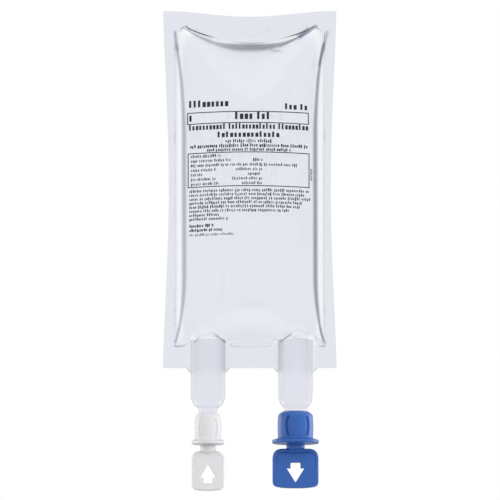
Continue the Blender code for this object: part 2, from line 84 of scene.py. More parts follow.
# Front and back film: two sheets of clear soft film, welded together round their edge
# and round the port tubes. The solution pushes them into a pillow, which draws in the
# side edges and sags the top one. A wavy hanger cut goes through the top weld.
film_low, film_high = (np.array(corner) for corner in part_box("front_film"))
tube_boxes = [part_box("injection_port_tube"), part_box("infusion_port_tube")]
HALF_FILM = (film_high[0] - film_low[0]) / 2
FILM_MIDDLE = (film_high[0] + film_low[0]) / 2
TOP_EDGE = film_high[2]
FILM_DROP = 165.9 * MM
BOTTOM_EDGE = TOP_EDGE - FILM_DROP
SKIRT_DROP = BOTTOM_EDGE - film_low[2]
SIDE_BOW = 2.6 * MM
SIDE_BOW_POWER = 1.4
TOP_SAG = 2.7 * MM
SIDE_WELD = 5.3 * MM
BOTTOM_WELD = 10.0 * MM
TOP_WELD_MIDDLE = 14.4 * MM
TOP_WELD_EARS = 7.0 * MM
TOP_WELD_SIDES = 10.0 * MM
EAR_SHARE = 0.865
FILM_THICKNESS = 0.25 * MM
SHEET_GAP = 0.3 * MM
CLEARANCE = 0.3 * MM
HALF_DEPTH = 8.8 * MM
HALF_CHAMBER = HALF_FILM - SIDE_WELD
TOP_TAPER = 50.0 * MM
TOP_FULLNESS = 0.8
TOP_SOFTNESS = 0.1
BOTTOM_TAPER = 32.0 * MM
BOTTOM_FULLNESS = 0.6
CORNER_FULLNESS = 1.6
END_SOFTNESS = 0.08
WELD_BOTTOM = BOTTOM_EDGE + BOTTOM_WELD
TUBE_XS = [(low[0] + high[0]) / 2 for low, high in tube_boxes]
TUBE_TOP = tube_boxes[0][1][2]
TUBE_RADIUS = (tube_boxes[0][1][0] - tube_boxes[0][0][0]) / 2
SLEEVE_RADIUS = TUBE_RADIUS + CLEARANCE
SLEEVE_FOOT = SLEEVE_RADIUS + 2.2 * MM
SLEEVE_FADE = 12.0 * MM
FOOT_ROUND = 0.5 * MM
FOOT_TAIL = 3 * MM
BLEND_POWER = 6
CUT_HALF_WIDTH = 8.9 * MM
CUT_CREST = 7.5 * MM
CUT_WAVE = 1.5 * MM
CUT_WAVE_POWER = 1.3
CUT_FADE = 5 * MM
CUT_OPEN = 0.16 * MM
CUT_ROW = 0.36


def cos_squared(share):
    """The square of the cosine of a share of a quarter turn: 1 at 0 and 0 at 1."""
    return np.cos(np.pi / 2 * np.clip(share, -1.0, 1.0)) ** 2


def half_width(z):
    """Half the film's width, less a power of a cosine that draws the side edges in."""
    share = np.clip((z - (TOP_EDGE + BOTTOM_EDGE) / 2) / (FILM_DROP / 2), -1.0, 1.0)
    return HALF_FILM - SIDE_BOW * np.cos(np.pi / 2 * share) ** SIDE_BOW_POWER


def top_weld(share):
    """The top weld's lower line: a parabola, deepest under the hanger cut, up to the
    chamber's two ears, and from each ear straight down to the side weld."""
    middle = TOP_WELD_MIDDLE - (TOP_WELD_MIDDLE - TOP_WELD_EARS) * (share / EAR_SHARE) ** 2
    outside = (share - EAR_SHARE) / (1.0 - EAR_SHARE)
    corner = TOP_WELD_EARS + (TOP_WELD_SIDES - TOP_WELD_EARS) * outside
    return TOP_EDGE - np.maximum(middle, corner)


def pillow(x, z):
    """Half thickness of the filled chamber: a round arc from side weld to side weld, times
    the rise from each end weld, a power of a parabola. Towards the sides a softened copy
    of the two rises' product divides it again, so that the corners stay full."""
    share = np.minimum(1.0, np.abs(x - FILM_MIDDLE) / HALF_CHAMBER)
    radius = (HALF_CHAMBER ** 2 + HALF_DEPTH ** 2) / (2 * HALF_DEPTH)
    side = np.sqrt(radius ** 2 - (share * HALF_CHAMBER) ** 2) - (radius - HALF_DEPTH)
    side = np.maximum(0.0, side / HALF_DEPTH)
    below_top = np.clip((top_weld(share) - z) / TOP_TAPER, 0.0, 1.0)
    above_bottom = np.clip((z - WELD_BOTTOM) / BOTTOM_TAPER, 0.0, 1.0)
    rise = 1.0 - (1.0 - below_top) ** 2
    top = rise * (rise + TOP_SOFTNESS) ** (TOP_FULLNESS - 1.0)
    bottom = (1.0 - (1.0 - above_bottom) ** 2) ** BOTTOM_FULLNESS
    ends = top * bottom
    soft = (ends + END_SOFTNESS) / (1.0 + END_SOFTNESS)
    return HALF_DEPTH * side * ends * soft ** (side ** CORNER_FULLNESS - 1.0)


def sleeve(x, z):
    """Film over the tubes: a circle, then its tangent down to the weld, where a root of
    the sum of squares rounds the foot. It fades over the tube's end as a squared cosine."""
    leave = math.acos(SLEEVE_RADIUS / SLEEVE_FOOT)
    fade = cos_squared(np.clip((z - TUBE_TOP - CLEARANCE) / SLEEVE_FADE, 0.0, 1.0))
    height = np.zeros_like(x)
    for tube_x in TUBE_XS:
        distance = np.abs(x - tube_x)
        circle = np.sqrt(np.maximum(SLEEVE_RADIUS ** 2 - distance ** 2, 0.0))
        slope = (SLEEVE_FOOT - distance) / math.tan(leave)
        over = np.where(distance < SLEEVE_RADIUS * math.cos(leave), circle, slope)
        over = (over + np.sqrt(over ** 2 + FOOT_ROUND ** 2)) / 2
        height = np.maximum(height, np.where(distance < SLEEVE_FOOT + FOOT_TAIL, over, 0.0))
    return height * fade


def film_height(x, z):
    """Distance of a sheet's inner face from the middle plane: pillow and sleeve blended
    as the sixth root of the sum of their sixth powers."""
    both = (pillow(x, z) ** BLEND_POWER + sleeve(x, z) ** BLEND_POWER) ** (1.0 / BLEND_POWER)
    return np.maximum(SHEET_GAP / 2, both)


def stretches(lines, counts):
    """Grid lines: each stretch between two lines is divided evenly into its count."""
    pieces = [np.linspace(a, b, n, endpoint=False) for a, b, n in zip(lines, lines[1:], counts)]
    return np.append(np.concatenate(pieces), lines[-1])


def film_grid(columns, rows):
    """x and z of every grid point. Only the side welds follow the bowed edges. Rows run 0
    to 1 in the bottom weld, 1 to 2 in the chamber and 2 to 3 in the top weld, where one
    row follows the hanger cut: a cosine of a power of x."""
    column, row = np.meshgrid(columns, rows, indexing="ij")
    out = np.abs(column - FILM_MIDDLE)
    nearest = np.min([np.abs(column - tube_x) for tube_x in TUBE_XS], axis=0)
    hug = np.clip((SLEEVE_FOOT - nearest) / (SLEEVE_FOOT - SLEEVE_RADIUS), 0.0, 1.0)
    bottom = BOTTOM_EDGE - SKIRT_DROP * hug ** 2
    top = TOP_EDGE - TOP_SAG * cos_squared(out / HALF_FILM)
    weld = top_weld(np.minimum(1.0, out / HALF_CHAMBER))
    plain = weld + (top - weld) * CUT_ROW
    wave = -CUT_WAVE * np.cos(np.pi * (np.abs(column) / CUT_CREST) ** CUT_WAVE_POWER)
    near = cos_squared(np.clip((np.abs(column) - CUT_HALF_WIDTH) / CUT_FADE, 0.0, 1.0))
    cut = plain + (np.where(near > 0.0, wave, 0.0) - plain) * near
    above = np.clip(row - 2.0, 0.0, 1.0)
    z = bottom + (WELD_BOTTOM - bottom) * np.clip(row, 0.0, 1.0)
    z = z + (weld - WELD_BOTTOM) * np.clip(row - 1.0, 0.0, 1.0)
    z = z + (cut - weld) * np.clip(above / CUT_ROW, 0.0, 1.0)
    z = z + (top - cut) * np.clip((above - CUT_ROW) / (1.0 - CUT_ROW), 0.0, 1.0)
    in_weld = np.maximum(0.0, out - HALF_CHAMBER) / SIDE_WELD
    x = column - np.sign(column - FILM_MIDDLE) * (HALF_FILM - half_width(z)) * in_weld
    return x, z


def grid_faces(count_u, count_v, close_u=False, close_v=False):
    """The quads of a grid of points that is numbered row by row."""
    index = np.arange(count_u * count_v).reshape(count_u, count_v)
    if close_u:
        index = np.vstack([index, index[:1]])
    if close_v:
        index = np.hstack([index, index[:, :1]])
    corners = (index[:-1, :-1], index[1:, :-1], index[1:, 1:], index[:-1, 1:])
    return np.stack([corner.ravel() for corner in corners], axis=1)


MERGE_DISTANCE = 0.000002
SLIVER_LENGTH = 0.000001


def surface(name, points, faces, material, smooth=True, weld=False, turn_out=True,
            tints_and_painted_light=None):
    """Puts points and quads into a mesh. Where weld is set, its doubles are merged and, with
    turn_out, its faces are turned outwards."""
    mesh = bpy.data.meshes.new(name)
    mesh.from_pydata(points.reshape(-1, 3), [], faces.tolist())
    if tints_and_painted_light is not None:
        colour = mesh.attributes.new("tint_and_painted_light", "FLOAT_COLOR", "POINT")
        colour.data.foreach_set("color", tints_and_painted_light.ravel().astype(np.float32))
    if weld:
        shape = bmesh.new()
        shape.from_mesh(mesh)
        bmesh.ops.remove_doubles(shape, verts=shape.verts, dist=MERGE_DISTANCE)
        bmesh.ops.dissolve_degenerate(shape, edges=shape.edges, dist=SLIVER_LENGTH)
        if turn_out:
            bmesh.ops.recalc_face_normals(shape, faces=shape.faces)
        shape.to_mesh(mesh)
        shape.free()
    if smooth:
        mesh.shade_smooth()
    mesh.materials.append(material)
    piece = bpy.data.objects.new(name, mesh)
    scene.collection.objects.link(piece)
    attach(piece, "root")
    return piece


def principled(name, **inputs):
    """A Principled BSDF material with the named sockets set."""
    material = bpy.data.materials.new(name)
    material.use_nodes = True
    shader = material.node_tree.nodes["Principled BSDF"]
    for socket, value in inputs.items():
        shader.inputs[socket.replace("_", " ")].default_value = value
    return material


def add_bump(material, scale, height, strength):
    """Fine unevenness: a noise in Object coordinates, bumped by a height in metres."""
    tree = material.node_tree
    place = tree.nodes.new("ShaderNodeTexCoord")
    noise = tree.nodes.new("ShaderNodeTexNoise")
    noise.inputs["Scale"].default_value = scale
    noise.inputs["Detail"].default_value = 2.0
    bump = tree.nodes.new("ShaderNodeBump")
    bump.inputs["Distance"].default_value = height
    bump.inputs["Strength"].default_value = strength
    tree.links.new(place.outputs["Object"], noise.inputs["Vector"])
    tree.links.new(noise.outputs["Fac"], bump.inputs["Height"])
    tree.links.new(bump.outputs["Normal"], tree.nodes["Principled BSDF"].inputs["Normal"])


clear_film = principled(
    "clear_film", Roughness=0.05, IOR=1.35, Transmission_Weight=1.0, Specular_IOR_Level=0.25,
)
add_bump(clear_film, 60.0, 0.0002, 0.15)
film_tree = clear_film.node_tree
# The film's per-point colour: its own tint, plus painted light at the rim and over the tubes and
# painted shade on the folds.
tint_and_painted_light = film_tree.nodes.new("ShaderNodeAttribute")
tint_and_painted_light.attribute_name = "tint_and_painted_light"
film_tree.links.new(tint_and_painted_light.outputs["Color"],
                    film_tree.nodes["Principled BSDF"].inputs["Base Color"])
CHAMBER_TINT = np.array([0.892, 0.903, 0.932])
WELD_TINT = np.array([0.880, 0.892, 0.922])
# Painted light: a lighter colour along the pouch's rim stands in for the bright strip that bent
# and reflected light makes there.
RIM_PAINTED_LIGHT = np.array([0.965, 0.970, 0.980])
# Painted light: the film over the tubes is made lighter, against the shade that its steep flanks
# would give the tubes.
SLEEVE_PAINTED_LIGHT = np.array([0.99, 0.99, 0.995])
# Painted shade: the dark colour laid along the front film's folds.
FOLD_PAINTED_SHADE = np.array([0.20, 0.23, 0.36])
WELD_TINT_REACH = 0.5 * MM
RIM_PAINTED_LIGHT_HEIGHT = 1.2 * MM
SLEEVE_PAINTED_LIGHT_FROM = 3 * MM
SLEEVE_PAINTED_LIGHT_REACH = 1.5 * MM
SLEEVE_PAINTED_LIGHT_ABOVE = 1 * MM
SLEEVE_PAINTED_LIGHT_FADE = 2 * MM
CHAMBER_TINT_REACH = 6 * MM

# Painted shade on folds: dark strokes laid into the front film's colour, not shaped, as (x, z)
# of both ends and the width in mm, and how dark. The top arc's come first, then those in the
# corners, at the tubes' upper ends and along the bottom weld.
PAINTED_FOLD_SHADES = [
    ((22.3, -1.6), (26.0, 1.2), 1.2, 0.9),
    ((26.0, 1.2), (29.6, 3.2), 0.7, 0.75),
    ((13.0, -6.6), (22.3, -1.6), 0.45, 0.4),
    ((9.0, -8.3), (13.6, -8.8), 0.5, 0.45),
    ((-26.0, -0.6), (-20.0, -3.2), 1.7, 0.25),
    ((-30.2, 3.2), (-28.2, 0.8), 0.4, 0.5),
    ((-35.5, 0.6), (-34.0, -8.0), 0.5, 0.55),
    ((35.0, 0.5), (31.2, -15.0), 0.6, 0.6),
    ((-33.9, -137.0), (-35.4, -143.6), 0.4, 0.3),
    ((31.6, -137.5), (34.0, -144.4), 0.4, 0.3),
    ((-16.7, -141.2), (-12.2, -144.0), 0.4, 0.75),
    ((-24.5, -142.4), (-26.2, -144.3), 0.35, 0.4),
    ((18.3, -140.7), (13.7, -143.6), 0.4, 0.65),
    ((18.9, -142.2), (25.8, -143.3), 0.3, 0.25),
    ((13.8, -141.0), (20.5, -138.4), 0.4, 0.14),
    ((20.5, -138.4), (28.0, -140.6), 0.4, 0.14),
    ((28.0, -140.6), (32.8, -143.9), 0.35, 0.2),
    ((-24.0, -141.5), (-17.0, -140.2), 0.4, 0.1),
    ((-35.0, -146.0), (-28.5, -144.4), 0.3, 0.25),
    ((-10.0, -145.0), (-5.0, -146.2), 0.3, 0.25),
    ((-5.0, -146.2), (7.0, -145.8), 0.3, 0.18),
]


def painted_fold_shade(x, z):
    """How dark the painted fold shade is: a strength times the exponential of minus the square
    of the distance from the fold's line over its width. It is laid into the film's colour as
    painted shade."""
    dark = np.zeros_like(x)
    for start, end, width, strength in PAINTED_FOLD_SHADES:
        start, end = np.array(start) * MM, np.array(end) * MM
        run = end - start
        along = ((x - start[0]) * run[0] + (z - start[1]) * run[1]) / (run @ run)
        along = np.clip(along, 0.0, 1.0)
        distance = np.hypot(x - start[0] - along * run[0], z - start[1] - along * run[1])
        dark = np.maximum(dark, strength * np.exp(-(distance / (width * MM)) ** 2))
    return dark[..., None]


HAIR = 0.04 * MM
RIM_WIDTH = 5 * MM
FILM_COLUMNS = stretches(
    [FILM_MIDDLE - HALF_FILM, FILM_MIDDLE - HALF_FILM + HAIR, FILM_MIDDLE - HALF_CHAMBER,
     FILM_MIDDLE - HALF_CHAMBER + RIM_WIDTH, FILM_MIDDLE + HALF_CHAMBER - RIM_WIDTH,
     FILM_MIDDLE + HALF_CHAMBER, FILM_MIDDLE + HALF_FILM - HAIR, FILM_MIDDLE + HALF_FILM],
    [1, 6, 16, 116, 16, 6, 1],
)
FILM_ROWS = np.concatenate([
    stretches([0.0, 0.004, 1.0, 1.16, 1.7, 1.96, 1.9996, 2.0, 2.0 + CUT_ROW],
              [1, 14, 54, 40, 36, 16, 1, 8]),
    stretches([2.0 + CUT_ROW, 2.997, 3.0], [9, 1]),
])
CUT_INDEX = int(np.argmax(FILM_ROWS >= 2.0 + CUT_ROW))


def film_sheet(name, side):
    """One sheet's inner face on the film grid, given its thickness by Solidify. The two
    rows at the hanger cut stand apart there, with no faces between them. The film's colour
    has painted light at the pouch's rim and over the tubes, and the front's has painted shade on
    a fold."""
    x, z = film_grid(FILM_COLUMNS, FILM_ROWS)
    gape = CUT_OPEN / 2 * np.sqrt(np.clip(1.0 - (FILM_COLUMNS / CUT_HALF_WIDTH) ** 2, 0.0, 1.0))
    z[:, CUT_INDEX] -= gape
    z[:, CUT_INDEX + 1] += gape
    height = film_height(x, z)
    points = np.stack([x, side * height, z], axis=-1)
    in_weld = cos_squared(np.clip((height - SHEET_GAP / 2) / WELD_TINT_REACH, 0.0, 1.0))
    # Painted light along the pouch's rim.
    painted_rim_light = cos_squared((height - RIM_PAINTED_LIGHT_HEIGHT) / RIM_PAINTED_LIGHT_HEIGHT)
    # Painted light over the tubes, fading out a little above their ends.
    painted_tube_light = np.clip((sleeve(x, z) - SLEEVE_PAINTED_LIGHT_FROM) / SLEEVE_PAINTED_LIGHT_REACH, 0.0, 1.0)
    painted_tube_light = painted_tube_light * np.clip((TUBE_TOP + SLEEVE_PAINTED_LIGHT_ABOVE - z) / SLEEVE_PAINTED_LIGHT_FADE, 0.0, 1.0)
    in_chamber = np.clip((z - WELD_BOTTOM) / CHAMBER_TINT_REACH, 0.0, 1.0)
    in_weld, painted_rim_light, painted_tube_light, in_chamber = (
        share[..., None] for share in (in_weld, painted_rim_light, painted_tube_light, in_chamber))
    tints_and_painted_light = CHAMBER_TINT + (WELD_TINT - CHAMBER_TINT) * in_weld
    tints_and_painted_light = tints_and_painted_light + (RIM_PAINTED_LIGHT - tints_and_painted_light) * painted_rim_light * (1.0 - in_weld) * in_chamber
    tints_and_painted_light = tints_and_painted_light + (SLEEVE_PAINTED_LIGHT - tints_and_painted_light) * painted_tube_light
    # Painted shade along the folds of the front film.
    if side < 0:
        tints_and_painted_light = tints_and_painted_light + (FOLD_PAINTED_SHADE - tints_and_painted_light) * painted_fold_shade(x, z)
    tints_and_painted_light = np.concatenate([tints_and_painted_light, np.ones_like(in_weld)], axis=-1)
    faces = grid_faces(*x.shape).reshape(len(FILM_COLUMNS) - 1, -1, 4)
    faces = np.delete(faces, CUT_INDEX, axis=1).reshape(-1, 4)
    if side > 0:
        faces = faces[:, ::-1]
    piece = surface(name, points, faces, clear_film, weld=True, turn_out=False,
                    tints_and_painted_light=tints_and_painted_light)
    solidify = piece.modifiers.new("thickness", "SOLIDIFY")
    solidify.thickness = FILM_THICKNESS
    solidify.offset = 1.0
    return piece


front_film = film_sheet("front_film_clear", -1.0)
back_film = film_sheet("back_film_clear", 1.0)
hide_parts("front_film")
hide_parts("back_film")


# Solution: a clear colourless liquid that fills the chamber between the sheets, down to
# the tubes' upper ends. It bends the light, so its steep rims show dark and bright.
solution = principled(
    "solution", Base_Color=(0.99, 0.995, 1.0, 1.0), Roughness=0.0, IOR=1.333,
    Transmission_Weight=1.0,
)
WETTING_GAP = 0.06 * MM
GRID_MARGIN = 1e-6


def pouch_fill(name):
    """Front and back faces on the chamber's part of the film grid, closed round its rim.
    They follow the pillow alone and not the film's sleeves. Over each tube's end the
    lowest rows rise to a flat floor just above it."""
    inside = np.abs(FILM_COLUMNS - FILM_MIDDLE) <= HALF_CHAMBER + GRID_MARGIN
    rows = FILM_ROWS[(FILM_ROWS > 0.999) & (FILM_ROWS < 2.001)]
    x, z = film_grid(FILM_COLUMNS[inside], rows)
    nearest = np.min([np.abs(x - tube_x) for tube_x in TUBE_XS], axis=0)
    floor = np.where(nearest < SLEEVE_FOOT, TUBE_TOP + CLEARANCE, WELD_BOTTOM)
    z = np.maximum(z, floor)
    height = np.maximum(pillow(x, z), SHEET_GAP / 2) - WETTING_GAP
    height[0, :] = 0.0
    height[-1, :] = 0.0
    height[:, -1] = 0.0
    height[:, 0] = 0.0
    front = np.stack([x, -height, z], axis=-1)
    back = np.stack([x, height, z], axis=-1)
    faces = grid_faces(*x.shape)
    both = np.concatenate([front.reshape(-1, 3), back.reshape(-1, 3)])
    all_faces = np.concatenate([faces, faces[:, ::-1] + x.size])
    return surface(name, both, all_faces, solution, weld=True, turn_out=False)


fill = pouch_fill("solution_fill")
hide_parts("saline_fill")


# Port tubes: short wide tubes of clear, slightly hazy plastic, welded between the
# sheets. A shoulder narrows each to the neck that its cap snaps on.
clear_plastic = principled(
    "clear_plastic", Base_Color=(0.872, 0.882, 0.92, 1.0), Roughness=0.3, IOR=1.18,
    Transmission_Weight=1.0,
)
add_bump(clear_plastic, 300.0, 0.0001, 0.2)
TUBE_WALL = 1.2 * MM
NECK_WALL = 1.1 * MM
BORE_RADIUS = TUBE_RADIUS - TUBE_WALL
TUBE_BELOW_FILM = 14.6 * MM
TUBE_SHOULDER = 4.4 * MM
SHOULDER_TOP = BOTTOM_EDGE - TUBE_BELOW_FILM
SHOULDER_LOW = SHOULDER_TOP - TUBE_SHOULDER
NECK_RADII = {"injection": 4.3 * MM, "infusion": 5.0 * MM}
COLLAR_PROUD = {"injection": 0.6 * MM, "infusion": 1.2 * MM}
COLLAR_LENGTH = 5.0 * MM


def turned(name, profile, material, x, steps=128):
    """A closed profile of (radius, height) turned about the port's axis."""
    angle = np.linspace(0.0, 2 * np.pi, steps, endpoint=False)[:, None]
    radius, z = profile[None, :, 0], profile[None, :, 1]
    points = np.stack([x + radius * np.sin(angle), -radius * np.cos(angle),
                       z + 0.0 * angle], axis=-1)
    faces = grid_faces(steps, len(profile), close_u=True)
    return surface(name, points, faces, material, weld=True)


def rounded(corners, arc_steps=6, hold=0.08 * MM):
    """A profile through (radius, height, round) corners. Each corner's arc touches both
    its sides: it is the quadratic curve between its two tangent points. A point a hair
    further along each side keeps the sides' shading straight."""
    corners = np.array(corners, dtype=float)
    points = []
    for index, (radius, z, fillet) in enumerate(corners):
        here = np.array([radius, z])
        if fillet == 0.0 or index in (0, len(corners) - 1):
            points.append(here[None, :])
            continue
        before = corners[index - 1, :2] - here
        after = corners[index + 1, :2] - here
        start = here + before / np.linalg.norm(before) * fillet
        end = here + after / np.linalg.norm(after) * fillet
        held_start = here + before / np.linalg.norm(before) * (fillet + hold)
        held_end = here + after / np.linalg.norm(after) * (fillet + hold)
        t = np.linspace(0.0, 1.0, arc_steps + 1)[:, None]
        arc = (1 - t) ** 2 * start + 2 * t * (1 - t) * here + t ** 2 * end
        points.extend([held_start[None, :], arc, held_end[None, :]])
    return np.concatenate(points)


def port_tube(name, tube_box, neck, proud):
    """Down the outer side, in at the shoulder, round the collar and up the bore."""
    x = (tube_box[0][0] + tube_box[1][0]) / 2
    low = tube_box[0][2]
    collar_top = low + COLLAR_LENGTH
    middle = (TUBE_RADIUS + neck) / 2
    seam = SHOULDER_TOP + 3 * MM
    profile = rounded([
        (BORE_RADIUS, seam, 0.0),
        (BORE_RADIUS, TUBE_TOP, 0.4 * MM),
        (TUBE_RADIUS, TUBE_TOP, 0.4 * MM),
        (TUBE_RADIUS, SHOULDER_TOP, 2.0 * MM),
        (middle, SHOULDER_LOW + 1.6 * MM, 0.4 * MM),
        (neck, SHOULDER_LOW + 0.4 * MM, 1.0 * MM),
        (neck, collar_top, 0.1 * MM),
        (neck + proud, collar_top, 0.2 * MM),
        (neck + proud, low, 0.3 * MM),
        (neck - NECK_WALL, low, 0.2 * MM),
        (neck - NECK_WALL, SHOULDER_LOW, 1.0 * MM),
        (BORE_RADIUS, SHOULDER_TOP, 1.5 * MM),
        (BORE_RADIUS, seam, 0.0),
    ])
    return turned(name, profile, clear_plastic, x)


for port, tube_box in zip(("injection", "infusion"), tube_boxes):
    tube = port_tube(f"{port}_tube_clear", tube_box, NECK_RADII[port], COLLAR_PROUD[port])
    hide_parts(f"{port}_port_tube")


# Septa: soft pale rubber discs clamped in the caps, which hide them.
septum_rubber = principled(
    "septum_rubber", Base_Color=(0.78, 0.72, 0.48, 1.0), Roughness=0.6,
)
add_bump(septum_rubber, 900.0, 0.0001, 0.2)
for node in ("injection_septum", "infusion_septum"):
    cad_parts[node].data.materials.clear()
    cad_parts[node].data.materials.append(septum_rubber)


# Caps: satin mouldings that snap over the port necks. Each has a crowned barrel with
# crescent grip grooves, a finger flange, and a flat tab with an arrow cut through it.
blue_plastic = principled(
    "blue_plastic", Base_Color=(0.026, 0.103, 0.375, 1.0), Roughness=0.30,
)
add_bump(blue_plastic, 700.0, 0.00004, 0.25)
white_plastic = principled(
    "white_plastic", Base_Color=(0.725, 0.728, 0.742, 1.0), Roughness=0.36,
    Transmission_Weight=0.1, IOR=1.45,
)
add_bump(white_plastic, 700.0, 0.00004, 0.25)
CAP_LIP = 1.6 * MM
CAP_MOUTH_LAND = 0.6 * MM
CAP_SHOULDER = 1.5 * MM
BARREL_TOP = 3.0 * MM
BARREL_FOOT = 1.2 * MM
BARREL_CROWN = 0.15 * MM
CAP_STEPS = 360
GROOVE_BOW = 0.9 * MM
GROOVE_LENGTH = 9.6 * MM
GROOVE_TOP = 2.2 * MM
GROOVE_FADE = 0.08
GROOVE_SPREAD_DEGREES = 32.0
FLANGE_THICKNESS = 1.6 * MM
FLANGE_ROUND = 0.2 * MM
WINDOW_LEDGE = 2.8 * MM
BREAK_WEB = 0.35 * MM
BREAK_GROOVE = 1.0 * MM
STEM_SINK = 1.4 * MM
TAB_THICKNESS = 3.6 * MM
TAB_HEIGHT = 18.3 * MM
TAB_BELLY = 0.9 * MM
TAB_FOOT_SHARE = 0.45
TAB_FOOT_ROUND = 3.0 * MM
TAB_LOW_CORNER = 2.4 * MM
TAB_EDGE = 0.8 * MM
TAB_TOP_EDGE_EXTRA = 0.2 * MM
TAB_TOP_POWER = 0.7
TAB_LINE_REACH = 2.6 * MM
ARROW_TIP, ARROW_BARB, ARROW_TAIL = 4.7 * MM, -2.0 * MM, -4.6 * MM
ARROW_SHAFT_SHARE = 0.55
ARROW_ROUND = 0.5 * MM
ARROW_INNER_ROUND = 0.2 * MM
ARROW_EDGE = 0.25 * MM
ARROW_SPACING = 0.12 * MM
OUTLINE_SPACING = 0.05 * MM
RAY_CENTRE_SHIFT = 2.4 * MM


def cap_body(name, cap_box, sizes, material):
    """The turned part. Its barrel's radius is less by four grooves: each a squared
    cosine across a crescent path, faded in and out at its two ends."""
    x = (cap_box[0][0] + cap_box[1][0]) / 2
    top = cap_box[1][2]
    mouth = sizes["neck"] + CLEARANCE
    bore = sizes["neck"] + sizes["proud"] + CLEARANCE
    window = bore - WINDOW_LEDGE
    flange_top = top - sizes["barrel_height"]
    flange_bottom = flange_top - FLANGE_THICKNESS
    barrel = sizes["barrel"]
    outer = rounded([
        (mouth, top - CAP_LIP, 0.0),
        (mouth, top, 0.2 * MM),
        (mouth + CAP_MOUTH_LAND, top, 0.2 * MM),
        (barrel, top - CAP_SHOULDER, 1.1 * MM),
        (barrel, top - BARREL_TOP, 0.0),
    ])
    share = np.linspace(0.0, 1.0, 90)
    crown = np.stack([barrel + BARREL_CROWN * np.sin(np.pi * share),
                      top - BARREL_TOP + (flange_top + BARREL_FOOT - top + BARREL_TOP) * share],
                     axis=1)
    lower = rounded([
        (barrel, flange_top + BARREL_FOOT, 0.0),
        (barrel + 0.1 * MM, flange_top + 0.8 * MM, 0.2 * MM),
        (sizes["flange"] - FLANGE_ROUND, flange_top, 0.15 * MM),
        (sizes["flange"], flange_top - FLANGE_ROUND, 0.12 * MM),
        (sizes["flange"], flange_bottom + 0.3 * MM, FLANGE_ROUND),
        (sizes["flange"] - 0.4 * MM, flange_bottom, FLANGE_ROUND),
        (window + 0.4 * MM, flange_bottom, 0.2 * MM),
        (sizes["stem"], flange_bottom - BREAK_GROOVE, 0.5 * MM),
        (sizes["stem"], sizes["tab_top"], 0.5 * MM),
        (TAB_THICKNESS / 3, sizes["tab_top"] - STEM_SINK, 0.2 * MM),
        (0.0, sizes["tab_top"] - STEM_SINK, 0.0),
    ])
    inner = np.array([
        (0.0, flange_bottom - BREAK_WEB),
        (window, flange_bottom - BREAK_WEB),
        (window, flange_top),
        (bore, flange_top),
        (bore, top - CAP_LIP),
    ])
    profile = np.concatenate([inner, outer, crown[1:-1], lower])
    angle = np.linspace(0.0, 2 * np.pi, CAP_STEPS, endpoint=False)[:, None]
    radius = profile[None, :, 0] + 0.0 * angle
    z = profile[None, :, 1] + 0.0 * angle
    down = (top - GROOVE_TOP - z) / GROOVE_LENGTH
    past_middle = np.abs(down - 0.5) - (0.5 - GROOVE_FADE)
    ends = cos_squared(np.clip(past_middle / GROOVE_FADE, 0.0, 1.0))
    on_barrel = (radius > bore + 0.3 * MM) & (z > flange_top + 0.9 * MM)
    bow = GROOVE_BOW / barrel * np.sin(np.pi * np.clip(down, 0.0, 1.0))
    for facing in (0.0, 180.0):
        for side in (-1.0, 1.0):
            path = np.radians(facing + sizes["turn"] + side * GROOVE_SPREAD_DEGREES) + side * bow
            apart = (angle - path + np.pi) % (2 * np.pi) - np.pi
            across = cos_squared(apart * barrel / sizes["groove_half_width"])
            radius = radius - np.where(on_barrel, sizes["groove"] * across * ends, 0.0)
    points = np.stack([x + radius * np.sin(angle), -radius * np.cos(angle), z], axis=-1)
    faces = grid_faces(CAP_STEPS, len(profile), close_u=True)
    return surface(name, points, faces, material, weld=True)


def outline_points(corners, spacing):
    """Points along a closed outline of (x, z, round) corners, about evenly spaced."""
    corners = np.array(corners, dtype=float)
    places = []
    for index, (x, z, fillet) in enumerate(corners):
        here = np.array([x, z])
        before = corners[index - 1, :2] - here
        after = corners[(index + 1) % len(corners), :2] - here
        start = here + before / np.linalg.norm(before) * fillet
        end = here + after / np.linalg.norm(after) * fillet
        t = np.linspace(0.0, 1.0, 9)[:, None]
        places.append((1 - t) ** 2 * start + 2 * t * (1 - t) * here + t ** 2 * end)
    loop = np.concatenate(places + [places[0][:1]])
    run = np.append(0.0, np.cumsum(np.linalg.norm(np.diff(loop, axis=0), axis=1)))
    at = np.linspace(0.0, run[-1], int(run[-1] / spacing), endpoint=False)
    return np.stack([np.interp(at, run, loop[:, 0]), np.interp(at, run, loop[:, 1])], axis=1)


